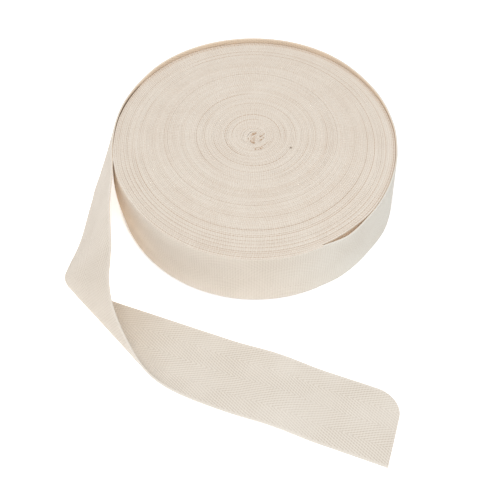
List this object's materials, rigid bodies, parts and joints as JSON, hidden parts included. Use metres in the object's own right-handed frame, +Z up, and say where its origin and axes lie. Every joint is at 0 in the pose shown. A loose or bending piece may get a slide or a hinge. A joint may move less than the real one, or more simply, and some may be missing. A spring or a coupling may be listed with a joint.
{
  "type": "roll of cotton webbing",
  "caption": "Wound roll of herringbone cotton webbing lying on its flat end, its loose end drawn out, folded under and laid flat",
  "frame": {"origin": "on the floor, on the axis of the roll", "axes": "+Z up along the axis of the roll, +X to the right and +Y away from the camera as in the picture"},
  "size_m": [0.2355, 0.3231, 0.0546],
  "materials": {
    "webbing_roll": "undyed cotton, the selvedges of the turns side by side",
    "webbing_end": "undyed cotton in a herringbone twill"
  },
  "bodies": {
    "root": {"wound_roll": "webbing_roll", "loose_end": "webbing_end"}
  },
  "joints": []
}
